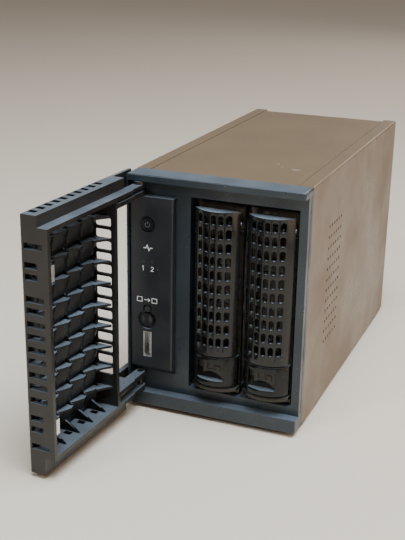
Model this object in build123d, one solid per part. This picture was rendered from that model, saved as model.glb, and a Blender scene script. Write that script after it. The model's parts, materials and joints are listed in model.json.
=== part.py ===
from build123d import *
import os

# Desktop two-bay network storage unit with its front door standing open. Millimetres.
# Modelled in the case's own frame: X from the left side, Y from the lips' front plane
# to the back, Z up from the case's underside. place() moves it to the row's frame.
WIDTH, DEPTH, HEIGHT = 101.0, 211.0, 136.0
FOOT = 2.5
SHEET = 1.2  # steel sheet
GAP = 0.35  # air between bodies that move past each other
STRIP = 14.0  # depth of the plastic front frame, front to back
LIP_TOP, LIP_BOTTOM = 132.2, 8.0  # underside of top lip, top of bottom lip
FACE = 6.3  # the frame's front face, behind the lips
BAY = (35.5, 96.5, 13.0, 125.0)  # bay opening x0, x1, z0, z1
TRAYS = {1: 52.0, 2: 82.0}  # tray centres
TRAY_HALF = 13.2
CHEEK = 1.0  # thin left wall that runs forward to the lips
FASCIA = (1.3, 27.2, 20.0, 123.6)
FASCIA_Y = 1.5
POWER_AT, BACKUP_AT, LED_AT = (12.2, 108.0), (11.8, 52.3), (12.1, 58.7)
DIGITS_AT = ((9.4, 86.9), (14.9, 86.9))
USB = (9.3, 14.5, 29.6, 45.2)
PIVOT = (7.1, 2.0)  # door hinge axis
OPEN_DEG = 93.3
DOOR_FRONT, DOOR_RIM, DOOR_BACK = -9.8, -0.3, 5.7
DOOR_INNER = (9.4, 130.2)  # height range of the door's deep part
CUTOUT = (37.0, 19.7, 124.1)  # door cut-out for the control panel: x1, z0, z1
NOTCH_X, NOTCH_Y = 19.5, -6.9  # rim relief beside the hinge
MESH = (38.5, 98.7, 11.6, 127.9)
MESH_ROWS, ROW_PITCH, FIRST_LEDGE = 9, 12.1, 120.2
CELL = 13.1  # width of one louvre cell
SCALLOP = [(0, 2.2), (3.3, 5.5), (6.2, 6.1), (9.5, 4.7), (13.1, 3.0)]  # cell edge in plan
HANDLE = (38.8, 121.0)  # handle bottom and top
HANDLE_PIVOT = (6.0, 114.0)  # y, z
CREST, CHORD = -2.5, 5.0
BLOCK = (20.5, 37.6)
DRIVE = (26.1, 101.6, 147.0)  # standard 3.5 inch drive: x, z, y
DRIVE_Y = 18.0
SLED_Z = (14.0, 122.6)
BAR = 3.3
FAN_AT, FAN_SIZE, FAN_Y = (50.5, 91.0), 80.0, (181.5, 206.5)
REAR_Y = (207.0, 208.2)
BOARD = 1.6
FEET = [(15, 22), (86, 22), (15, 190), (86, 190)]


def place(shape):
    return Pos(-WIDTH / 2, -DEPTH / 2, FOOT) * shape


def write(name, shape):
    parts = shape if isinstance(shape, list) else [shape]
    solids = [s for p in parts for s in place(p).solids()]
    export_step(solids[0] if len(solids) == 1 else Compound(children=solids), f"parts/{name}.step")


def block(x0, x1, y0, y1, z0, z1):
    return Pos((x0 + x1) / 2, (y0 + y1) / 2, (z0 + z1) / 2) * Box(x1 - x0, y1 - y0, z1 - z0)


def rod_x(r, y, z, x0, x1):
    return Pos((x0 + x1) / 2, y, z) * Rot(0, 90, 0) * Cylinder(r, x1 - x0)


def rod_y(r, x, z, y0, y1):
    return Pos(x, (y0 + y1) / 2, z) * Rot(90, 0, 0) * Cylinder(r, y1 - y0)


def rod_z(r, x, y, z0, z1):
    return Pos(x, y, (z0 + z1) / 2) * Cylinder(r, z1 - z0)


def along_y(sketch, y0, y1):
    return extrude(Plane(origin=(0, y1, 0), x_dir=(1, 0, 0), z_dir=(0, -1, 0)) * sketch, y1 - y0)


def along_x(sketch, x0, x1):
    return extrude(Plane(origin=(x0, 0, 0), x_dir=(0, 1, 0), z_dir=(1, 0, 0)) * sketch, x1 - x0)


def along_z(sketch, z0, z1):
    return extrude(Pos(0, 0, z0) * sketch, z1 - z0)


def at(points, sketch):
    return [Pos(a, b) * sketch for a, b in points]


def swing(shape):
    """Turns a closed door piece to where the open door stands."""
    return Pos(*PIVOT, 0) * Rot(0, 0, -OPEN_DEG) * Pos(-PIVOT[0], -PIVOT[1], 0) * shape


def bow(half, chord, crest, centre=0.0):
    """Plan outline of a bowed front: straight chord behind, arc in front."""
    ends = (centre - half, chord), (centre + half, chord)
    return make_face([Line(*ends), ThreePointArc(ends[1], (centre, crest), ends[0])])


# ---- case ----
def side_panel(mirror):
    outer = Pos(0, HEIGHT / 2) * Rectangle(2 * WIDTH, HEIGHT)
    profile = make_face(Polyline([(0, 0), (SHEET, 0), (SHEET, HEIGHT - SHEET), (8.2, HEIGHT - SHEET),
                                  (8.2, HEIGHT), (0, HEIGHT), (0, 0)])) & outer
    wall = along_y(fillet(profile.vertices().sort_by_distance((0, HEIGHT))[0], 1.1), STRIP, DEPTH)
    holes = at([(50.7 + 4.86 * c, 35.5 + 6.29 * r) for c in range(6) for r in range(12)], Circle(1.05))
    wall -= along_x(Sketch() + holes, -1, 2)
    return Pos(WIDTH, 0, 0) * wall.mirror(Plane.YZ) if mirror else wall


def top_panel():
    plate = block(8.6, WIDTH - 8.6, STRIP + 0.4, DEPTH - 5, HEIGHT - SHEET, HEIGHT)
    rail = block(10, 12, STRIP + 4, DEPTH - 12, HEIGHT - 4, HEIGHT - SHEET)
    return plate + rail + Pos(WIDTH - 22, 0, 0) * rail


def base_pan():
    pan = block(1.6, WIDTH - 1.6, STRIP, REAR_Y[0] - 0.2, 0, SHEET)
    pan += block(1.6, 2.8, STRIP, REAR_Y[0] - 0.2, 0, 9) + block(98.4, 99.5, STRIP, REAR_Y[0] - 0.2, 0, 7)
    slots = [Pos(x, y) * SlotOverall(22, 3, rotation=90) for x in range(26, 80, 8) for y in (75, 105, 135)]
    pan -= along_z(Sketch() + slots, -1, 2)
    for x, y in FEET:
        pan -= rod_z(2.5, x, y, -1, 2)
    for x in (24, 92):
        pan += rod_z(2.5, x, 188, SHEET, 12.6) + rod_z(2.5, x, 202, SHEET, 12.6)
    return pan


def rear_panel():
    plate = Pos(WIDTH / 2, HEIGHT / 2) * Rectangle(WIDTH - 3.2, HEIGHT - 3.2)
    fx, fz = FAN_AT
    hexes = [Pos(fx + p.position.X, fz + p.position.Y) * RegularPolygon(2.6, 6)
             for p in HexLocations(3.0, 17, 17) if p.position.length < 36.5]
    screws = at([(fx + a * 35.75, fz + b * 35.75) for a in (-1, 1) for b in (-1, 1)], Circle(1.7))
    ports = [Pos(x, z) * Rectangle(w, h) for x, z, w, h in PORTS] + [Pos(88, 21.2) * Circle(5.2)]
    ports += [Pos(*RESET_AT) * Circle(2.4), Pos(8, 30) * SlotOverall(7, 3, rotation=90)]
    return along_y(plate - hexes - screws - ports, *REAR_Y)


PORTS = [(22.0, 21.0, 16.6, 14.2), (43.0, 17.2, 13.8, 6.6), (61.0, 17.2, 13.8, 6.6)]
RESET_AT = (76.5, 16.9)


def front_bezel():
    bar = along_y(Pos(WIDTH / 2, HEIGHT / 2) * RectangleRounded(WIDTH, HEIGHT, 1.5), 0, STRIP)
    bar -= block(CHEEK, WIDTH + 1, -1, FACE, LIP_BOTTOM, LIP_TOP)
    bar -= block(BAY[0], BAY[1], 0, STRIP + 1, BAY[2], BAY[3])
    bar -= block(3, 31, 9, STRIP + 1, 12, 127)
    for (x, z), r in ((POWER_AT, 5.2), (BACKUP_AT, 4.6), (LED_AT, 2.2), *((d, 2.6) for d in DIGITS_AT)):
        bar -= rod_y(r, x, z, 0, STRIP)
    bar -= block(USB[0] - 0.5, USB[1] + 0.5, 0, STRIP, USB[2] - 0.5, USB[3] + 0.5)
    for x in (0.4, WIDTH - 0.4):
        bar -= block(x - 0.6, x + 0.6, 10.2, 10.8, LIP_BOTTOM, LIP_TOP)
    for z0, z1 in STRIKES:
        bar -= block(97.0, 99.8, FACE + 0.7, STRIP + 1, z0, z1)
    for z0, z1 in PINS:
        bar -= rod_z(1.5, *PIVOT, z0, z1)
    edges = bar.edges().filter_by(Axis.X).filter_by_position(Axis.Y, -0.01, 0.01)
    return fillet(edges.sort_by(Axis.Z)[0], 0.8) if edges else bar


STRIKES = [(102.8, 112.0), (22.6, 31.4)]
PINS = [(124.6, 134.4), (4.0, 19.2)]


def control_fascia():
    x0, x1, z0, z1 = FASCIA
    body = block(x0, x1, FASCIA_Y, FACE, z0, z1)
    body = chamfer(body.edges().filter_by(Axis.X).filter_by_position(Axis.Y, 1, 2).sort_by(Axis.Z)[0], 3.5)
    body = fillet(body.edges().filter_by(Axis.Z).filter_by_position(Axis.Y, 1, 2), 1.2)
    body -= rod_y(4.7, *POWER_AT, 0, 9)
    body -= rod_y(5.6, *BACKUP_AT, 0, FASCIA_Y + 1.4) + rod_y(2.9, *LED_AT, 0, FASCIA_Y + 1.4)
    body -= rod_y(4.15, *BACKUP_AT, 0, 9) + rod_y(1.6, *LED_AT, 0, 9)
    for x, z in DIGITS_AT:
        body -= rod_y(0.9, x, z, 0, 9)
    return body - block(*USB[:2], 0, 9, *USB[2:])


# ---- door, built closed ----
def door_shell():
    x1, z0, z1 = CUTOUT
    lo, hi = DOOR_INNER
    rim = block(0, WIDTH, DOOR_FRONT, DOOR_RIM, 0, HEIGHT)
    rim = chamfer(rim.edges().filter_by_position(Axis.Y, DOOR_FRONT - 0.01, DOOR_FRONT + 0.01), 1.0)
    body = rim + block(PIVOT[0], WIDTH, DOOR_RIM, DOOR_BACK, lo, hi)
    body -= block(-1, x1, -20, 20, z0, z1)
    body -= block(MESH[0], MESH[1], -20, 20, MESH[2], MESH[3])
    body -= block(-1, NOTCH_X, NOTCH_Y, 20, -1, HEIGHT + 1)
    for base, top in ((8.3, z0), (z1, 131.9)):
        arm = block(PIVOT[0], NOTCH_X + 1, -0.9, 4.9, max(base, lo), min(top, hi))
        body += arm + rod_z(2.9, *PIVOT, base, top)
        body -= rod_z(1.56, *PIVOT, base - 1, top + 1)
    for low, high in ((126.6, 128.4), (11.5, 16.8)):
        body -= block(-1, x1 - 1, NOTCH_Y + 0.1, 20, low, high)
    for z in (27.0, 107.4):
        body += block(95.0, MESH[1] + 0.2, -4.0, 4.0, z - 4.6, z + 4.6)
    return body - door_slots()


WIDE_ROWS = (120.7, 94.0, 88.1, 81.1, 74.5, 67.9, 61.8, 54.5, 48.3, 40.9, 15.3)
NARROW_ROWS = (111.0, 105.2, 31.0, 24.8)


def door_slots():
    cuts = []
    for rows, depth in ((WIDE_ROWS, 10.4), (NARROW_ROWS, 7.1)):
        cells = [Pos(DOOR_FRONT + 2 + depth / 2, z) * Rectangle(depth, 3.2) for z in rows]
        cuts.append(along_x(Sketch() + cells, MESH[1] - 1, WIDTH + 1))
    cells = [Pos(-2.3, 32.5 + 6.47 * i) * RectangleRounded(9.6, 4.9, 1.2) for i in range(14)]
    cuts.append(along_x(Sketch() + cells, CUTOUT[0] - 1, MESH[0] + 1))
    cells = [Pos(95.0 - 6.5 * i, -6.0) * Rectangle(3.2, 4.4) for i in range(10)]
    cuts.append(along_z(Sketch() + cells, MESH[3] - 1, HEIGHT + 1))
    cells = [Pos(49.6 + CELL * i, -3.1) * Rectangle(3.1, 4.4) for i in range(4)]
    cuts.append(along_z(Sketch() + cells, 3, MESH[2] + 1))
    return cuts


def scalloped(inset, taper, back):
    """One louvre row in plan, its inner edge scalloped, moved out by inset and flattened by taper."""
    x0, x1 = MESH[:2]
    edge = []
    for left in [x0 + CELL * c for c in range(4)] + [x0 + 4 * CELL]:
        edge += [(left + x, w) for x, w in SCALLOP if left + x < x1]
    edge.append((x1, 5.3))
    run = [(x, DOOR_FRONT + 1 + (w - 1) * taper - inset) for x, w in edge]
    return make_face(Polyline([(x0, DOOR_FRONT + back), *run, (x1, DOOR_FRONT + back), (x0, DOOR_FRONT + back)]))


def louvre_air():
    """The hollow under one hood, open to the front and below."""
    faces = []
    for z, taper, wall in ((-1.3, 1.0, 1.2), (-9.5, 0.45, 1.0)):
        run = [(1.3, 2.6), (3.7, 5.5), (6.2, 6.1), (9.2, 4.9), (11.8, 3.4)]
        run = [(x, 1 + (w - 1) * taper - wall) for x, w in run]
        outline = [(1.3, -1), *run, (11.8, -1), (1.3, -1)]
        faces.append(Pos(0, DOOR_FRONT, z) * make_face(Polyline(outline)))
    return loft(faces, ruled=True)


def door_mesh():
    """Louvred grille: rows of overlapping scalloped hoods, each with a flat ledge on top."""
    x0, x1, z0, z1 = MESH
    body = block(x0, x1, DOOR_FRONT, DOOR_FRONT + 1.5, z0, z1)
    hood = loft([Pos(0, 0, -1.3) * scalloped(0, 1.0, 1.0), Pos(0, 0, -9.4) * scalloped(0, 0.45, 1.0)], ruled=True)
    row = along_z(scalloped(0, 1.0, 1.0), -1.3, 0) + hood
    fin = [(DOOR_FRONT + 1, -0.2), (DOOR_FRONT + 5.0, -0.2), (DOOR_FRONT + 1, 3.3), (DOOR_FRONT + 1, -0.2)]
    fin = along_x(make_face(Polyline(fin)), 2.6, 3.4)
    row += [Pos(x0 + CELL * c, 0, 0) * fin for c in range(5)]
    wing = [(x0, 2.5), (x0 + 6, 4.2), (x0 + 7.6, 6.4), (x0 + 3.4, 9.2), (x0, 12.0), (x0, 2.5)]
    row += along_z(make_face(Polyline([(x, DOOR_FRONT + w) for x, w in wing])), -1.3, 0)
    air = louvre_air()
    last = air & block(0, 6.6, -20, 20, -20, 20)
    for c in range(5):
        row -= Pos(x0 + CELL * c, 0, 0) * (air if c < 4 else last)
    windows = [Pos(x0 + CELL * c + (6.55 if c < 4 else 3.95), 0) for c in range(5)]
    slots = []
    for r in range(MESH_ROWS):
        top = FIRST_LEDGE - ROW_PITCH * r
        slots += [w * Pos(0, top - 5.3) * Rectangle(10.5 if c < 4 else 5.3, 8.0) for c, w in enumerate(windows)]
    body -= along_y(Sketch() + slots, DOOR_FRONT - 1, DOOR_FRONT + 1.6)
    body += [Pos(0, 0, FIRST_LEDGE - ROW_PITCH * r) * row for r in range(MESH_ROWS)]
    foot = [(1, z0), (12.4, z0), (9.5, z0 + 2.3), (5.5, z0 + 4.6), (1, z0 + 7), (1, z0)]
    gusset = along_x(make_face(Polyline([(DOOR_FRONT + w, z) for w, z in foot])), -0.6, 0.6)
    return body + [Pos(47.0 + CELL * c, 0, 0) * gusset for c in range(4)]


# ---- trays ----
def sled():
    lo, hi = SLED_Z
    half, rear = TRAY_HALF, DRIVE_Y + DRIVE[2] - 2
    body = block(-half, half, 9, 12, lo, 109) + block(-half, half, 9, 13.6, 105.5, 109)
    body += block(-half, half, 10.6, 13.6, 107, hi)
    vents = [Pos(x, z) * Rectangle(3, 8) for x in (-8, -4, 0, 4, 8) for z in range(48, 104, 11)]
    body -= along_y(Sketch() + vents, 8, 13)
    for z0, z1 in ((lo, lo + BAR), (hi - BAR, hi)):
        body += block(-half, half, 12, rear, z0, z1)
        body -= block(-3.5, 3.5, 60, 120, z0 - 1, z1 + 1)
        for y in SCREW_Y:
            body -= rod_z(1.8, 0, y, z0 - 1, z1 + 1)
    body += along_z(bow(13, CHORD, -0.4), 16.8, 19.0) + block(-13, 13, CHORD, 9, 16.8, 19.0)
    for x in (-8.2, 8.2):
        body += block(x - 1.1, x + 1.1, HANDLE_PIVOT[0], 10.8, 112.0, 116.0)
        body += rod_x(2.1, *HANDLE_PIVOT, x - 1.1, x + 1.1)
    body += block(-6.2, 6.2, 1.6, 10.8, 97.0, 116.2) + block(-6.2, 6.2, 3.6, 10.8, 116.0, 118.0)
    body += block(-1.6, 1.6, 1.6, 9, 43.5, 50.5)
    for x in (-5, -3, -1, 1, 3, 5):
        body += block(x - 0.4, x + 0.4, 1.1, 1.6, 97.0, 116.2)
    return body - rod_x(1.1, *HANDLE_PIVOT, -TRAY_HALF, TRAY_HALF)


SCREW_Y = (46.0, 136.0)


RECESS = (-9.2, 6.8, 23.9, 34.6, 4.6)  # latch pocket: x0, x1, z0, z1, floor


def latch_block():
    z0, z1 = BLOCK
    body = along_z(bow(12.9, CHORD, CREST + 0.5), z0, z1) + block(-12.9, 12.9, CHORD, 9, z0, z1)
    x0, x1, low, high, floor = RECESS
    body -= block(x0, x1, -5, floor, low, high)
    ramp = [(floor, low), (2.3, low), (floor, 28.6), (floor, low)]
    return body + along_x(make_face(Polyline(ramp)), x0, x1)


def latch():
    body = block(-5.4, 6.5, 0.7, 1.9, 24.2, 34.3) + block(-3, 4, 1.9, 3.9, 30, 33)
    body -= rod_y(9.5, -1.2, 18.7, 0, 3)
    groove = [(-3.2, -2.2, 29.6, 33.4), (-3.2, 1.8, 29.6, 30.6), (0.8, 1.8, 29.6, 33.0),
              (0.8, 5.4, 32.0, 33.0), (4.4, 5.4, 28.8, 33.0)]
    for x0, x1, z0, z1 in groove:
        body -= block(x0, x1, 0, 1.3, z0, z1)
    return body


def handle():
    z0, z1 = HANDLE
    body = along_z(bow(13, CHORD - 0.4, CREST), z0, z1)
    body -= along_z(bow(11.4, CHORD, CREST + 1.6), z0 + 1.6, z1 - 1.8)
    holes = at([(4.0 * c, 81.9 + 7.72 * r) for c in range(-2, 3) for r in
                [k - 4.5 for k in range(10)]], SlotOverall(5.5, 2.8, rotation=90))
    body -= along_y(Sketch() + holes, -6, 4)
    for x in (-10.6, 10.6):
        body += block(x - 0.8, x + 0.8, 3.0, HANDLE_PIVOT[0], 112.0, 116.0)
        body += rod_x(2.1, *HANDLE_PIVOT, x - 0.8, x + 0.8)
        body -= rod_x(1.15, *HANDLE_PIVOT, x - 2, x + 2)
    return body


def drive_casting():
    t, h, length = DRIVE
    z0 = SLED_Z[0] + BAR + 0.1
    body = block(-10.4, t / 2 - 1.2, DRIVE_Y, DRIVE_Y + length, z0, z0 + h)
    body += block(-t / 2, -10.4, DRIVE_Y, DRIVE_Y + length, z0, z0 + 5)
    body += block(-t / 2, -10.4, DRIVE_Y, DRIVE_Y + length, z0 + h - 5, z0 + h)
    body -= block(0, t / 2, DRIVE_Y + 5, DRIVE_Y + length - 5, z0 + 6, z0 + h - 6)
    for y in SCREW_Y:
        body -= rod_z(1.5, 0, y, z0 - 1, z0 + 4) + rod_z(1.5, 0, y, z0 + h - 4, z0 + h + 1)
    return body


def drive_cover():
    t, h, length = DRIVE
    z0 = SLED_Z[0] + BAR + 0.1
    cover = along_x(Pos(DRIVE_Y + length / 2, z0 + h / 2) * RectangleRounded(length - 6, h - 6, 6), t / 2 - 1.2, t / 2)
    return cover - rod_x(14, DRIVE_Y + 58, z0 + h / 2, t / 2 - 0.4, t)


def drive_board():
    z0 = SLED_Z[0] + BAR + 0.1
    board = block(-12.2, -10.4, DRIVE_Y + 60, DRIVE_Y + DRIVE[2] - 1, z0 + 6, z0 + DRIVE[1] - 6)
    return board - block(-13, -10, DRIVE_Y + 55, DRIVE_Y + 95, z0 + 60, z0 + 100)


def drive_screws():
    lo, hi = SLED_Z
    out = []
    for y in SCREW_Y:
        out.append(rod_z(1.5, 0, y, lo + 0.5, lo + BAR + 4) + rod_z(1.8, 0, y, lo + 0.2, lo + BAR - 0.4))
        out.append(rod_z(1.5, 0, y, hi - BAR - 4, hi - 0.5) + rod_z(1.8, 0, y, hi - BAR + 0.4, hi - 0.2))
    return out


# ---- inside ----
def drive_cage():
    cage = block(34.0, 98.2, STRIP + 0.2, 165, 11.2, 127.2) - block(35.0, 97.2, STRIP - 1, 166, 12.2, 126.2)
    windows = [Pos(y, z) * RectangleRounded(24, 30, 3) for y in (40, 75, 110, 143) for z in (45, 92)]
    cage -= along_x(Sketch() + windows, 33, 100)
    cage += block(34.0, 98.2, 40, 52, SHEET, 11.2) + block(34.0, 98.2, 140, 152, SHEET, 11.2)
    tab = [(7.0, 13.4), (16.0, 13.4), (16.0, 18.0), (7.0, 13.4)]
    return cage + along_x(make_face(Polyline(tab)), 66.2, 67.8) + block(66.2, 67.8, 14.4, 16, 12.0, 18)


def cage_guides():
    walls = [(35.0, 38.3), (65.6, 68.4), (95.7, 97.2)]
    return [block(a, b, 16, 160, z0, z1) for a, b in walls for z0, z1 in ((12.2, 20.0), (118.5, 126.2))]


def fan_housing():
    fx, fz = FAN_AT
    y0, y1 = FAN_Y
    plate = Pos(fx, fz) * RectangleRounded(FAN_SIZE, FAN_SIZE, 4)
    corners = at([(fx + a * 35.75, fz + b * 35.75) for a in (-1, 1) for b in (-1, 1)], Circle(2.2))
    flange = plate - Pos(fx, fz) * Circle(38) - corners
    ring = Pos(fx, fz) * Circle(39.6) - Pos(fx, fz) * Circle(38)
    body = along_y(flange, y0, y0 + 4) + along_y(flange, y1 - 4, y1) + along_y(ring, y0, y1)
    body += rod_y(15, fx, fz, y1 - 3, y1)
    for angle in (45, 135):
        arm = Pos(fx, y1 - 1.5, fz) * Rot(0, angle, 0) * Box(77, 3, 4)
        body += arm
    return body - rod_y(1.5, fx, fz, y1 - 4, y1 + 1)


def fan_rotor():
    fx, fz = FAN_AT
    y0, y1 = FAN_Y
    body = rod_y(16, fx, fz, y0 + 1, y1 - 3.4) - rod_y(14.4, fx, fz, y0 + 3, y1 - 3)
    body += rod_y(1.45, fx, fz, y0 + 2, y1 - 0.5)
    for i in range(7):
        blade = Pos(25.6, 0, 0) * Rot(38, 0, 0) * Box(21.5, 1.3, 20)
        body += Pos(fx, (y0 + y1) / 2 - 1.2, fz) * Rot(0, i * 360 / 7, 0) * blade
    return body


def main_board():
    shape = Pos(99, 68) * Rectangle(158, 112) + Pos(180.5, 26) * Rectangle(9, 28)
    holes = at([(26, 18), (26, 118), (170, 118), (170, 18)], Circle(1.7))
    return along_x(shape - holes, 28.0, 28.0 + BOARD)


def heatsink():
    fins = [block(12, 25, 88, 128, 62 + 4 * i, 63.4 + 4 * i) for i in range(11)]
    return block(24, 27, 88, 128, 62, 103.4) + fins


def usb_shell(x0, x1, y0, y1, z0, z1, wall=0.4):
    return block(x0, x1, y0, y1, z0, z1) - block(x0 + wall, x1 - wall, y0 - 1, y1 - wall, z0 + wall, z1 - wall)


def rear_usb(x, z):
    shell = block(x - 6.6, x + 6.6, 192, DEPTH - 2.5, z - 3, z + 3)
    shell -= block(x - 6.2, x + 6.2, 193, DEPTH, z - 2.6, z + 2.6)
    return shell


def usb_insert(x, z):
    return block(x - 5, x + 5, 193, 204, z + 0.2, z + 1.8) + block(x - 6.2, x + 6.2, 193, 194, z - 2.6, z + 2.6)


def ethernet_jack():
    x, z = PORTS[0][:2]
    body = block(x - 8, x + 8, 186, DEPTH - 2.5, z - 6.8, z + 6.8)
    return body - block(x - 5.9, x + 5.9, 194, DEPTH, z - 4.4, z + 3.8) - block(x - 3, x + 3, 194, DEPTH, z + 3, z + 5.6)


def power_inlet():
    body = block(82.4, 93.6, 188, REAR_Y[0], 14.2, 28.2) + rod_y(5.0, 88, 21.2, REAR_Y[0] - 1, DEPTH - 2.5)
    return body - (rod_y(3.4, 88, 21.2, 196, DEPTH) - rod_y(1.1, 88, 21.2, 190, 207.5))


def fan_cable():
    path = Spline([(26.6, 166, 112), (22, 168, 118), (18, 173, 121), (16, 180, 122)])
    return sweep(Plane(origin=path @ 0, z_dir=path % 0) * Circle(1.0), path)


def ribbon():
    back = 13.8 + BOARD
    return along_z(make_face(Polyline([(17.5, back), (17.5, 17.6), (27.6, 17.6), (27.6, 26), (28, 26),
                                       (28, 17.2), (17.9, 17.2), (17.9, back), (17.5, back)])), 60, 80)


def case_parts():
    write("left_side_panel", side_panel(False))
    write("right_side_panel", side_panel(True))
    write("top_panel", top_panel())
    write("base_pan", base_pan())
    write("rear_panel", rear_panel())
    write("front_bezel", front_bezel())
    write("control_fascia", control_fascia())
    write("rubber_feet", [rod_z(8, x, y, -FOOT, 0) + rod_z(2.5, x, y, 0, SHEET) for x, y in FEET])
    write("case_screws", [rod_y(2.6, x, z, REAR_Y[1], REAR_Y[1] + 1.6)
                          for x, z in ((5.5, 6.5), (95.5, 6.5), (5.5, 129.5), (95.5, 129.5))])
    write("hinge_pins", [rod_z(1.5, *PIVOT, *span) for span in PINS])
    write("strike_plates", [block(97.0, 99.8, FACE + 0.7, FACE + 1.7, *span) for span in STRIKES])
    write("power_light_ring", rod_y(4.7, *POWER_AT, FASCIA_Y + 0.1, FASCIA_Y + 3)
          - rod_y(3.9, *POWER_AT, 0, 9))
    write("status_light_pipes", [rod_y(0.9, x, z, FASCIA_Y, 12) for x, z in DIGITS_AT]
          + [rod_y(1.6, *LED_AT, FASCIA_Y - 0.2, 12)])
    shell = usb_shell(USB[0] + 0.1, USB[1] - 0.1, FASCIA_Y + 0.2, 13.8, USB[2] + 0.1, USB[3] - 0.1)
    tongue = block(12.2, 13.6, 3.5, 13.4, USB[2] + 1.6, USB[3] - 1.6)
    write("front_usb_port", [shell, tongue])


def inner_parts():
    write("front_board", block(5, 29, 13.8, 13.8 + BOARD, 22, 120))
    write("front_switches", [block(x - 3, x + 3, 10.2, 13.8, z - 3, z + 3) for x, z in (POWER_AT, BACKUP_AT)])
    write("front_leds", [block(x - 1, x + 1, 12.4, 13.8, z - 1, z + 1) for x, z in (*DIGITS_AT, LED_AT)])
    write("drive_cage", drive_cage())
    write("cage_guides", cage_guides())
    board = Pos(66.5, 69) * (Rectangle(60, 96) - at([(x, z) for x in (-15, 15) for z in (5, 25)], Circle(4)))
    write("backplane_board", along_y(board, 172, 172 + BOARD))
    write("backplane_sockets", [block(x - 12, x - 6, 165.6, 172, 22, 64) - block(x - 10, x - 8, 164, 168, 24, 62)
                                for x in TRAYS.values()])
    write("main_board", main_board())
    write("processor_heatsink", heatsink())
    write("board_chips", [block(26.4, 28, y, y + w, z, z + h) for y, w, z, h in
                          ((40, 12, 70, 12), (56, 12, 70, 12), (40, 12, 88, 12), (60, 16, 30, 16), (140, 14, 40, 14))]
          + [block(27, 28, 94, 122, 70, 96)])
    write("board_capacitors", [rod_x(3.5, y, z, 18, 28) for y, z in ((150, 100), (160, 100), (150, 88), (160, 88))])
    write("coin_cell", [rod_x(10, 105, 30, 23.6, 26.8), block(26.8, 28, 94, 116, 19, 41)])
    write("port_board", block(6, 97, 180, REAR_Y[0] - 0.4, 12.6 - 0.0, 12.6 + BOARD) - block(26.5, 31, 170, 196, 10, 16))
    write("ethernet_jack", ethernet_jack())
    write("rear_usb_ports", [part for x, z, _, _ in PORTS[1:] for part in (rear_usb(x, z), usb_insert(x, z))])
    write("power_inlet", power_inlet())
    write("fan_housing", fan_housing())
    fx, fz = FAN_AT
    write("fan_screws", [rod_y(1.7, fx + a * 35.75, fz + b * 35.75, 203, REAR_Y[1])
                         + rod_y(3, fx + a * 35.75, fz + b * 35.75, REAR_Y[1], REAR_Y[1] + 1.5)
                         for a in (-1, 1) for b in (-1, 1)])
    write("fan_cable", fan_cable())
    write("front_ribbon_cable", ribbon())


def moving_parts():
    write("fan_rotor", fan_rotor())
    write("power_button", rod_y(3.55, *POWER_AT, FASCIA_Y - 0.2, 9.2))
    cap = rod_y(3.8, *BACKUP_AT, FASCIA_Y + 0.3, 9.2)
    write("backup_button", cap - Pos(BACKUP_AT[0], FASCIA_Y - 7.9, BACKUP_AT[1]) * Sphere(8.7))
    write("reset_button", rod_y(2.0, *RESET_AT, 200, REAR_Y[1] - 0.4) + block(74.2, 78.8, 196, 200, 14.9, 18.9))
    write("door_shell", swing(door_shell()))
    write("door_mesh", swing(door_mesh()))
    write("door_magnets", [swing(block(95.2, 98.6, 4.0, 5.2, z - 4.2, z + 4.2)) for z in (27.0, 107.4)])
    tray = {"sled": sled(), "latch_block": latch_block(), "latch": latch(), "handle": handle(),
            "drive_casting": drive_casting(), "drive_cover": drive_cover(), "drive_board": drive_board(),
            "drive_screws": drive_screws(), "handle_pin": rod_x(1.1, *HANDLE_PIVOT, -13.1, 13.1)}
    for number, x in TRAYS.items():
        for name, shape in tray.items():
            pieces = shape if isinstance(shape, list) else [shape]
            write(f"tray_{number}_{name}", [Pos(x, 0, 0) * p for p in pieces])


os.makedirs("parts", exist_ok=True)
case_parts()
inner_parts()
moving_parts()
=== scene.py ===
import json
import math

import bmesh
import bpy
from mathutils import Matrix, Vector


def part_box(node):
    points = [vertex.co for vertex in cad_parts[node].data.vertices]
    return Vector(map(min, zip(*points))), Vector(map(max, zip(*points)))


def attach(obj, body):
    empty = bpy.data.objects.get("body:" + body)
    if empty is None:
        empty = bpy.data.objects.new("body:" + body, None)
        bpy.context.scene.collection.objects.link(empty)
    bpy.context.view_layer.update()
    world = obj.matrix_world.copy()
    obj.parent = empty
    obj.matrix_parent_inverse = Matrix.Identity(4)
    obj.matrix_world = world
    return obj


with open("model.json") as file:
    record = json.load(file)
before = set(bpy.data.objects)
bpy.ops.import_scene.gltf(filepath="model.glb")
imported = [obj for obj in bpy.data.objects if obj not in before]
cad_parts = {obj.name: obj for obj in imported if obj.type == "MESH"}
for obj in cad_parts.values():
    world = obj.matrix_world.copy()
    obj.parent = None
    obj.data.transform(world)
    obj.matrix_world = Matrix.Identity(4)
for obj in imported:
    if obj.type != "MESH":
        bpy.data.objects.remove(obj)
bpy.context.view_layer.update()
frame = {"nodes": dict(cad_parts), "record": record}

NODES = frame["nodes"]
MM = 0.001

# ---------- settings: places in metres, sizes of marks in millimetres ----------
SENSOR_WIDTH, FOCAL_LENGTH = 36.0, 67.67
CLIP_NEAR, CLIP_FAR = 0.01, 20.0
CAMERA_PLACE = (0.18718, -0.58229, 0.27109)
CAMERA_FORWARD = (-0.35267, 0.87465, -0.33258)
CAMERA_DOWN = (0.14055, -0.30187, -0.94293)

ROOM_COLOUR, ROOM_STRENGTH = (0.97, 0.89, 0.80), 0.26
FLOOR_HALF, FLOOR_COLOUR, FLOOR_ROUGHNESS = 3.0, (0.74, 0.63, 0.51), 0.85

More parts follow.
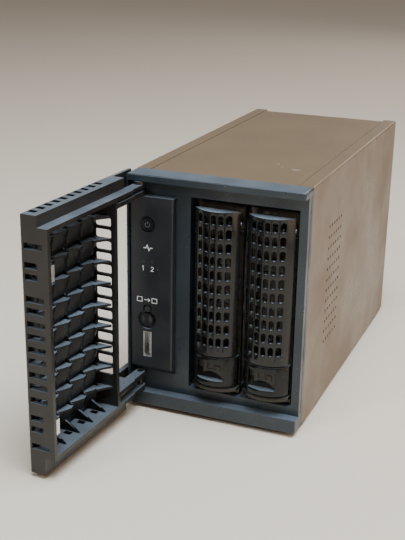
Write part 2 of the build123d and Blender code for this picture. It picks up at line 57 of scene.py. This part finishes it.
# Soft panels: name, place, what it points at, width and height, watts, colour.
LAMPS = (
    ("sky", (0.25, -0.30, 1.25), (0, 0, 0.05), (0.8, 0.8), 30, (0.78, 0.90, 1.0)),
    ("fill", (1.2, -0.5, 0.5), (0, 0, 0.07), (0.9, 0.7), 4.5, (1.0, 0.68, 0.42)),
    ("rear", (0.5, 1.5, 0.75), (0, 0, 0.1), (1.6, 0.6), 5, (1.0, 0.90, 0.80)),
    ("glint", (-0.5, -1.0, 0.9), (0, -0.1, 0.06), (0.25, 0.25), 4, (0.85, 0.93, 1.0)),
)

DUST_COLOUR = (0.55, 0.53, 0.5)
# The next colour is painted sky light mixed with dust, laid on the faces that look up.
SKY_LIGHT_AND_DUST_COLOUR = (0.19, 0.225, 0.265)
PAINT_GLOSS, PAINT_DUST = 0.35, 0.06

# Texture scales are per metre. Ranges are the part of a texture's 0 to 1 that is stretched to the full effect.
NOISE_ROUGHNESS = 0.5
NOISE_MIDDLE, NOISE_WIDE = (0.35, 0.65), (0.3, 0.7)
SPECK_SCALE, SPECK_FADE = 420, (0.10, 0.03)
SPECK_PATCH_SCALE, SPECK_PATCH = 38, (0.56, 0.66)
# How level a face must be to take the painted sky light with dust.
LEVEL_ENOUGH = (0.80, 0.96)
# Patch size and thinnest share of the painted sky light with dust on upward faces.
SKY_LIGHT_AND_DUST_SCALE, THINNEST_SKY_LIGHT_AND_DUST = 60, 0.6

# Radius of the rounded edges in millimetres, by piece; tray pieces share one radius and all others another.
EDGE_RADIUS = {"front_bezel": 0.3, "control_fascia": 0.35, "door_shell": 0.4, "door_mesh": 0.22, "top_panel": 0.3}
TRAY_EDGE_RADIUS, SMALL_EDGE_RADIUS = 0.28, 0.15
SHARP_EDGE_DEGREES = 40
WELD_DISTANCE = 1e-6
# Thin, bent or heavily pierced pieces, which keep the edges they have.
NO_ROUNDING = {"fan_cable", "front_ribbon_cable", "front_leds", "processor_heatsink", "rubber_feet",
               "left_side_panel", "right_side_panel", "rear_panel", "base_pan", "drive_cage"}

INK_HEIGHT = 0.05
SHARPEST_MITRE = 0.4
SYMBOL_STROKE, TRACE_STROKE, DIGIT_STROKE, COPY_STROKE = 0.42, 0.5, 0.38, 0.36
TRACE_SHIFT, TRACE_BELOW_BUTTON = 0.3, 13.3
DIGIT_SHIFT, DIGITS_BELOW_BUTTON = 2.75, 25.4
COPY_ABOVE_BUTTON = 11.8
SCUFF_STROKE, SCUFF_HEIGHT, SCUFF_SUNK = 0.22, 0.03, 0.02
SCUFFS_FROM_RIGHT, SCUFFS_FROM_FRONT = 14, 32


# ---------- camera, lights and floor ----------
def look(location, forward, down):
    """World matrix of a camera at location, from its forward and down directions."""
    forward, up = Vector(forward).normalized(), -Vector(down)
    right = forward.cross(up).normalized()
    up = right.cross(forward).normalized()
    turn = Matrix((right, up, -forward)).transposed().to_4x4()
    return Matrix.Translation(location) @ turn


def make_camera():
    data = bpy.data.cameras.new("camera")
    data.sensor_width, data.lens = SENSOR_WIDTH, FOCAL_LENGTH
    data.clip_start, data.clip_end = CLIP_NEAR, CLIP_FAR
    camera = bpy.data.objects.new("camera", data)
    bpy.context.scene.collection.objects.link(camera)
    camera.matrix_world = look(CAMERA_PLACE, CAMERA_FORWARD, CAMERA_DOWN)
    bpy.context.scene.camera = camera


def area_light(name, location, target, size, power, colour):
    """A soft rectangular lamp pointed at a target."""
    data = bpy.data.lights.new(name, "AREA")
    data.shape, data.size, data.size_y = "RECTANGLE", size[0], size[1]
    data.energy, data.color = power, colour
    lamp = bpy.data.objects.new(name, data)
    bpy.context.scene.collection.objects.link(lamp)
    lamp.location = location
    lamp.rotation_euler = (Vector(target) - Vector(location)).to_track_quat("-Z", "Y").to_euler()


def make_lights():
    world = bpy.data.worlds.new("studio")
    bpy.context.scene.world = world
    world.use_nodes = True
    background = world.node_tree.nodes["Background"]
    background.inputs["Color"].default_value = (*ROOM_COLOUR, 1)
    background.inputs["Strength"].default_value = ROOM_STRENGTH
    for lamp in LAMPS:
        area_light(*lamp)


def make_floor():
    mesh = bpy.data.meshes.new("floor")
    half = FLOOR_HALF
    mesh.from_pydata([(-half, -half, 0), (half, -half, 0), (half, half, 0), (-half, half, 0)], [], [(0, 1, 2, 3)])
    floor = bpy.data.objects.new("floor", mesh)
    bpy.context.scene.collection.objects.link(floor)
    material = bpy.data.materials.new("floor_paper")
    material.use_nodes = True
    shader = material.node_tree.nodes["Principled BSDF"]
    shader.inputs["Base Color"].default_value = (*FLOOR_COLOUR, 1)
    shader.inputs["Roughness"].default_value = FLOOR_ROUGHNESS
    mesh.materials.append(material)


# ---------- materials ----------
class Shader:
    """A Principled material built from a few procedural layers in object space."""

    def __init__(self, name, colour, roughness, metallic=0.0):
        self.material = bpy.data.materials.new(name)
        self.material.use_nodes = True
        self.tree = self.material.node_tree
        self.bsdf = self.tree.nodes["Principled BSDF"]
        self.bsdf.inputs["Base Color"].default_value = (*colour, 1)
        self.bsdf.inputs["Roughness"].default_value = roughness
        self.bsdf.inputs["Metallic"].default_value = metallic
        self.colour = colour
        self.place = self.node("ShaderNodeTexCoord").outputs["Object"]
        self.last_normal = None

    def node(self, kind, **settings):
        made = self.tree.nodes.new(kind)
        for key, value in settings.items():
            setattr(made, key, value)
        return made

    def link(self, source, target):
        self.tree.links.new(source, target)

    def noise(self, scale, detail, stretch=None):
        """Noise in object space, optionally drawn out along an axis."""
        texture = self.node("ShaderNodeTexNoise")
        texture.inputs["Scale"].default_value = scale
        texture.inputs["Detail"].default_value = detail
        texture.inputs["Roughness"].default_value = NOISE_ROUGHNESS
        place = self.place
        if stretch:
            mapping = self.node("ShaderNodeMapping")
            mapping.inputs["Scale"].default_value = stretch
            self.link(place, mapping.inputs["Vector"])
            place = mapping.outputs["Vector"]
        self.link(place, texture.inputs["Vector"])
        return texture.outputs["Fac"]

    def remap(self, source, low, high, to_low, to_high):
        """Stretches the range low to high over to_low to to_high."""
        ranged = self.node("ShaderNodeMapRange")
        for key, value in zip(("From Min", "From Max", "To Min", "To Max"), (low, high, to_low, to_high)):
            ranged.inputs[key].default_value = value
        self.link(source, ranged.inputs["Value"])
        return ranged.outputs["Result"]

    def product(self, first, second):
        both = self.node("ShaderNodeMath", operation="MULTIPLY", use_clamp=True)
        self.link(first, both.inputs[0])
        self.link(second, both.inputs[1])
        return both.outputs[0]

    def tint(self, factor, colour):
        """Mixes colour over what the base colour has so far."""
        mix = self.node("ShaderNodeMix", data_type="RGBA")
        socket = self.bsdf.inputs["Base Color"]
        if socket.is_linked:
            self.link(socket.links[0].from_socket, mix.inputs["A"])
        else:
            mix.inputs["A"].default_value = (*self.colour, 1)
        mix.inputs["B"].default_value = (*colour, 1)
        self.link(factor, mix.inputs["Factor"])
        self.link(mix.outputs["Result"], socket)
        return self

    def vary_roughness(self, source, low, high):
        self.link(self.remap(source, *NOISE_MIDDLE, low, high), self.bsdf.inputs["Roughness"])
        return self

    def bump(self, source, strength, distance):
        """Adds fine relief on top of any relief there already is."""
        node = self.node("ShaderNodeBump")
        node.inputs["Strength"].default_value = strength
        node.inputs["Distance"].default_value = distance
        self.link(source, node.inputs["Height"])
        if self.last_normal:
            self.link(self.last_normal, node.inputs["Normal"])
        self.last_normal = node.outputs["Normal"]
        self.link(self.last_normal, self.bsdf.inputs["Normal"])
        return self

    def dust(self, amount):
        """Scattered specks of dust."""
        specks = self.node("ShaderNodeTexVoronoi")
        specks.inputs["Scale"].default_value = SPECK_SCALE
        self.link(self.place, specks.inputs["Vector"])
        near = self.remap(specks.outputs["Distance"], *SPECK_FADE, 0, 1)
        patch = self.remap(self.noise(SPECK_PATCH_SCALE, 2), *SPECK_PATCH, 0, amount)
        return self.tint(self.product(near, patch), DUST_COLOUR)

    def sky_light_and_dust(self, amount):
        """Painted sky light mixed with fine dust on the faces that look up: a pale bluish tint that makes them paler
        than the sides.
        """
        split = self.node("ShaderNodeSeparateXYZ")
        self.link(self.node("ShaderNodeTexCoord").outputs["Normal"], split.inputs["Vector"])
        upward = self.remap(split.outputs["Z"], *LEVEL_ENOUGH, 0, 1)
        patchy = self.remap(self.noise(SKY_LIGHT_AND_DUST_SCALE, 4), *NOISE_WIDE, THINNEST_SKY_LIGHT_AND_DUST * amount, amount)
        return self.tint(self.product(upward, patchy), SKY_LIGHT_AND_DUST_COLOUR)


def scaled(colour, factor):
    return tuple(min(1, c * factor) for c in colour)


def moulded(name, colour, roughness, grain=1.0, dust=0.5, sky_light_and_dust=0.0, gloss=0.5):
    """Moulded plastic: fine spark texture, cloudy tone, handling marks and dust, with painted sky light mixed with
    dust on the upward faces when asked for.
    """
    shader = Shader(name, colour, roughness)
    shader.bsdf.inputs["Specular IOR Level"].default_value = gloss
    cloudy = shader.remap(shader.noise(45, 4), 0.4, 0.7, 0, 0.6)
    shader.tint(cloudy, scaled(colour, 1.5))
    handled = shader.noise(70, 4)
    shader.vary_roughness(handled, roughness - 0.08, roughness + 0.1)
    spark = shader.noise(3800, 2)
    shader.bump(spark, 0.10 * grain, 0.12 * MM)
    sink_marks = shader.noise(160, 3)
    shader.bump(sink_marks, 0.03, 0.4 * MM)
    # Painted sky light, mixed with dust, on the faces that look up.
    if sky_light_and_dust:
        shader.sky_light_and_dust(sky_light_and_dust)
    return shader.dust(dust).material


def painted(name, colour, roughness):
    """Satin painted steel with faint orange peel, hairline scratches and dust."""
    shader = Shader(name, colour, roughness)
    shader.bsdf.inputs["Specular IOR Level"].default_value = PAINT_GLOSS
    cloudy = shader.remap(shader.noise(22, 3), 0.35, 0.7, 0, 0.7)
    shader.tint(cloudy, scaled(colour, 1.12))
    handled = shader.noise(30, 4)
    shader.vary_roughness(handled, roughness - 0.06, roughness + 0.1)
    grit = shader.noise(2600, 2)
    shader.bump(grit, 0.02, 0.1 * MM)
    orange_peel = shader.noise(260, 2)
    shader.bump(orange_peel, 0.01, 0.3 * MM)
    hairlines = shader.noise(60, 2, stretch=(60, 1.2, 60))
    shader.tint(shader.remap(hairlines, 0.70, 0.74, 0, 0.25), scaled(colour, 2.2))
    return shader.dust(PAINT_DUST).material


def metal(name, colour, roughness, stretch=(1, 60, 60)):
    """Brushed or rolled metal with a fine grain."""
    shader = Shader(name, colour, roughness, 1.0)
    stains = shader.remap(shader.noise(40, 3), 0.35, 0.7, 0, 0.5)
    shader.tint(stains, scaled(colour, 0.75))
    brushing = shader.noise(90, 3, stretch=stretch)
    shader.vary_roughness(brushing, roughness - 0.08, roughness + 0.12)
    return shader.bump(brushing, 0.08, 0.1 * MM).material


def lens(name, colour):
    """Smoky plastic that lets a little light through."""
    shader = Shader(name, colour, 0.25)
    shader.bsdf.inputs["Transmission Weight"].default_value = 0.35
    smoke = shader.remap(shader.noise(400, 2), *NOISE_WIDE, 0, 0.4)
    shader.tint(smoke, scaled(colour, 0.8))
    haze = shader.noise(1800, 2)
    return shader.bump(haze, 0.05, 0.1 * MM).material


def circuit(name):
    """Green solder mask with copper tracks showing faintly through it."""
    shader = Shader(name, (0.012, 0.075, 0.035), 0.32)
    tracks = shader.node("ShaderNodeTexBrick")
    tracks.inputs["Scale"].default_value = 160
    tracks.inputs["Mortar Size"].default_value = 0.03
    shader.link(shader.place, tracks.inputs["Vector"])
    shader.tint(shader.remap(tracks.outputs["Fac"], 0, 1, 0, 0.55), (0.03, 0.16, 0.07))
    shader.bump(tracks.outputs["Fac"], 0.15, 0.1 * MM)
    return shader.vary_roughness(shader.noise(120, 3), 0.28, 0.42).material


FINISHES = {
    # case_paint's brown is a painted reflection of the warm surroundings; the paint itself is dark charcoal.
    "case_paint": painted("case_paint", (0.150, 0.098, 0.058), 0.33),
    # sheet_steel is near black as painted shade: the drive cage seen through the side panel's holes stands in for the
    # dark inside of the case; the rear panel shares this colour.
    "sheet_steel": painted("sheet_steel", (0.022, 0.021, 0.020), 0.42),
    # The blue tint of front_plastic is painted cool sky light on near-black plastic.
    "front_plastic": moulded("front_plastic", (0.020, 0.029, 0.037), 0.33, dust=0.9, sky_light_and_dust=0.45),
    "fascia_plastic": moulded("fascia_plastic", (0.009, 0.0115, 0.0160), 0.40, dust=0.9, sky_light_and_dust=0.9),
    "door_plastic": moulded("door_plastic", (0.014, 0.0125, 0.0115), 0.32, dust=0.4, sky_light_and_dust=0.6),
    "grille_plastic": moulded("grille_plastic", (0.004, 0.0045, 0.0055), 0.34, dust=0.3, sky_light_and_dust=1.0, gloss=0.22),
    "magnet_steel": metal("magnet_steel", (0.80, 0.82, 0.84), 0.3, (60, 60, 2)),
    "rubber": moulded("rubber", (0.02, 0.02, 0.02), 0.75, grain=2.0, dust=0.6),
    "screw_steel": metal("screw_steel", (0.62, 0.63, 0.65), 0.3),
    "ring_lens": moulded("ring_lens", (0.012, 0.014, 0.018), 0.18, grain=0.3, dust=0.2),
    "pipe_lens": lens("pipe_lens", (0.05, 0.055, 0.06)),
    "port_steel": metal("port_steel", (0.92, 0.92, 0.90), 0.30),
    "port_black": moulded("port_black", (0.010, 0.010, 0.011), 0.35, grain=0.6, dust=0.3),
    "board_green": circuit("board_green"),
    "guide_plastic": moulded("guide_plastic", (0.014, 0.014, 0.015), 0.5, grain=1.0, dust=0.4),
    "heatsink_alu": metal("heatsink_alu", (0.62, 0.63, 0.65), 0.35),
    "chip_black": moulded("chip_black", (0.012, 0.012, 0.013), 0.5, grain=0.8, dust=0.2),
    "capacitor_case": metal("capacitor_case", (0.7, 0.7, 0.72), 0.25),
    "cell_steel": metal("cell_steel", (0.72, 0.72, 0.72), 0.25),
    "fan_plastic": moulded("fan_plastic", (0.012, 0.012, 0.012), 0.45, grain=0.8, dust=0.7),
    "cable_jacket": moulded("cable_jacket", (0.015, 0.015, 0.016), 0.5, grain=0.6, dust=0.3),
    "button_plastic": moulded("button_plastic", (0.008, 0.009, 0.011), 0.30, grain=0.7, dust=0.3),
    "tray_plastic": moulded("tray_plastic", (0.020, 0.017, 0.012), 0.30, grain=0.8, dust=0.6, sky_light_and_dust=0.9, gloss=0.4),
    "handle_plastic": moulded("handle_plastic", (0.0070, 0.0075, 0.0080), 0.24, grain=0.6, dust=0.6, sky_light_and_dust=1.0,
                              gloss=0.45),
    "latch_plastic": moulded("latch_plastic", (0.013, 0.011, 0.0075), 0.25, grain=0.8, dust=0.5, sky_light_and_dust=0.8,
                             gloss=0.40),
    "drive_alloy": metal("drive_alloy", (0.42, 0.42, 0.43), 0.5, (20, 20, 20)),
    "drive_cover_steel": metal("drive_cover_steel", (0.55, 0.56, 0.57), 0.3),
}
INK = moulded("label_ink", (0.72, 0.74, 0.76), 0.5, grain=0.4, dust=0.2)
FAINT_INK = moulded("faint_ink", (0.09, 0.10, 0.115), 0.4, grain=0.4, dust=0.1)
SCUFF = moulded("scuff_mark", (0.55, 0.53, 0.50), 0.7, grain=0.6, dust=0.0)

# The latch block is glossier than the sled that shares its slot, and is painted blacker as painted shade in the latch
# recess it holds.
LATCH_RECESS_SHADE_PLASTIC = moulded("latch_recess_shade_plastic", (0.0050, 0.0054, 0.0056), 0.22, grain=0.6, dust=0.5, sky_light_and_dust=0.8, gloss=0.35)


def soften(name, node):
    """Rounds sharp edges so that they catch the light, as moulded and rolled edges do."""
    if name in NO_ROUNDING:
        return
    weld = node.modifiers.new("weld", "WELD")
    weld.merge_threshold = WELD_DISTANCE
    bevel = node.modifiers.new("edge", "BEVEL")
    bevel.width = EDGE_RADIUS.get(name, TRAY_EDGE_RADIUS if "tray" in name else SMALL_EDGE_RADIUS) * MM
    bevel.segments = 2
    bevel.limit_method = "ANGLE"
    bevel.angle_limit = math.radians(SHARP_EDGE_DEGREES)
    bevel.harden_normals = True
    bevel.use_clamp_overlap = True


def dress_nodes():
    """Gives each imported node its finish, and rounds the edges that catch the light."""
    slots = {part["node"]: part["material_slot"] for part in frame["record"]["subparts"]}
    for name, node in NODES.items():
        node.data.materials.clear()
        # Latch blocks take the plastic painted darker as shade in their recess.
        node.data.materials.append(LATCH_RECESS_SHADE_PLASTIC if name.endswith("latch_block") else FINISHES[slots[name]])
        soften(name, node)


# ---------- printed marks and small trim ----------
def ribbon(points, width):
    """Two edge lists either side of a polyline, mitred at its corners."""
    points = [Vector(p) for p in points]
    left, right = [], []
    for i, point in enumerate(points):
        before = (point - points[i - 1]).normalized() if i else None
        after = (points[i + 1] - point).normalized() if i + 1 < len(points) else None
        along = ((before or after) + (after or before)).normalized()
        across = Vector((-along.y, along.x))
        mitre = 1 / max(SHARPEST_MITRE, abs(along.dot(after or before)))
        left.append(point + across * width / 2 * mitre)
        right.append(point - across * width / 2 * mitre)
    return left, right


def printed(name, strokes, centre, face, width, body, material, thick=INK_HEIGHT, up=False):
    """A thin raised print: strokes in mm around centre, on an upright front face or a level top."""
    bm = bmesh.new()
    for stroke in strokes:
        left, right = ribbon(stroke, width)
        rows = []
        for a, b in zip(left, right):
            rows.append([make_vert(bm, centre, face, p, lift, up) for p, lift in
                         ((a, 0), (a, thick), (b, thick), (b, 0))])
        for lower, upper in zip(rows, rows[1:]):
            for k in range(4):
                bm.faces.new((lower[k], lower[(k + 1) % 4], upper[(k + 1) % 4], upper[k]))
        bm.faces.new(rows[0])
        bm.faces.new(rows[-1])
    bmesh.ops.recalc_face_normals(bm, faces=bm.faces)
    mesh = bpy.data.meshes.new(name)
    bm.to_mesh(mesh)
    bm.free()
    piece = bpy.data.objects.new(name, mesh)
    bpy.context.scene.collection.objects.link(piece)
    mesh.materials.append(material)
    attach(piece, body)
    return piece


def make_vert(bm, centre, face, point, lift, up):
    """A corner of a print, lift mm above a face that looks up or to the front."""
    if up:
        return bm.verts.new((centre[0] + point.x * MM, centre[1] + point.y * MM, face + lift * MM))
    return bm.verts.new((centre[0] + point.x * MM, face - lift * MM, centre[1] + point.y * MM))


def arc(radius, start, end, steps=20, centre=(0, 0)):
    """Points along an arc between two angles in degrees."""
    angles = [math.radians(start + (end - start) * i / steps) for i in range(steps + 1)]
    return [(centre[0] + radius * math.cos(a), centre[1] + radius * math.sin(a)) for a in angles]


def frame_box(x0, x1, z0, z1):
    """A closed rectangle that starts and ends in the middle of its lower side, so every corner is mitred."""
    middle = (x0 + x1) / 2
    return [(middle, z0), (x1, z0), (x1, z1), (x0, z1), (x0, z0), (middle, z0)]


def middle_of(node):
    low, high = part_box(node)
    return [(a + b) / 2 for a, b in zip(low, high)]


def make_prints():
    """The marks on the control panel: power, activity, the two bays and backup."""
    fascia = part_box("control_fascia")[0][1]
    button = middle_of("power_button")
    backup = middle_of("backup_button")
    printed("power_symbol", [arc(1.35, 125, 415), [(0, 0.3), (0, 1.9)]], (button[0], button[2]),
            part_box("power_button")[0][1], SYMBOL_STROKE, "power_button", FAINT_INK)
    activity = [[(-2.75, -0.1), (-1.3, -0.1), (-0.55, 1.45), (0.5, -1.5), (1.2, 0.1), (2.75, 0.1)]]
    printed("activity_mark", activity, (button[0] + TRACE_SHIFT * MM, button[2] - TRACE_BELOW_BUTTON * MM), fascia,
            TRACE_STROKE, "case", INK)
    one = [[(-0.6, 0.85), (0.1, 1.3), (0.1, -1.3)]]
    two = [[*arc(0.72, 165, -30, 12, (0, 0.6)), (-0.75, -1.15), (0.85, -1.15)]]
    for number, strokes, shift in (("one", one, -DIGIT_SHIFT), ("two", two, DIGIT_SHIFT)):
        printed(f"digit_{number}", strokes, (button[0] + shift * MM, button[2] - DIGITS_BELOW_BUTTON * MM), fascia,
                DIGIT_STROKE, "case", INK)
    copy = [frame_box(-6.0, -3.0, -1.3, 1.3), frame_box(3.0, 6.0, -1.3, 1.3), [(-1.8, 0), (1.6, 0)],
            [(0.6, 1.0), (1.7, 0), (0.6, -1.0)]]
    printed("backup_mark", copy, (backup[0], backup[2] + COPY_ABOVE_BUTTON * MM), fascia, COPY_STROKE, "case", INK)


def make_scuffs():
    """Light scratches on the top, near its front right corner."""
    low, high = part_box("top_panel")
    marks = [[(0, 0), (1.6, 0.5), (3.4, 0.3), (5.2, 1.2)], [(1.8, -1.4), (3.0, -0.9), (4.4, -1.2)],
             [(-7, 3), (-5.6, 3.3)], [(-11, 9), (-9.8, 8.4)]]
    printed("top_scuffs", marks, (high[0] - SCUFFS_FROM_RIGHT * MM, low[1] + SCUFFS_FROM_FRONT * MM),
            high[2] - SCUFF_SUNK * MM, SCUFF_STROKE, "case", SCUFF, SCUFF_HEIGHT, True)


make_camera()
make_lights()
make_floor()
dress_nodes()
make_prints()
make_scuffs()
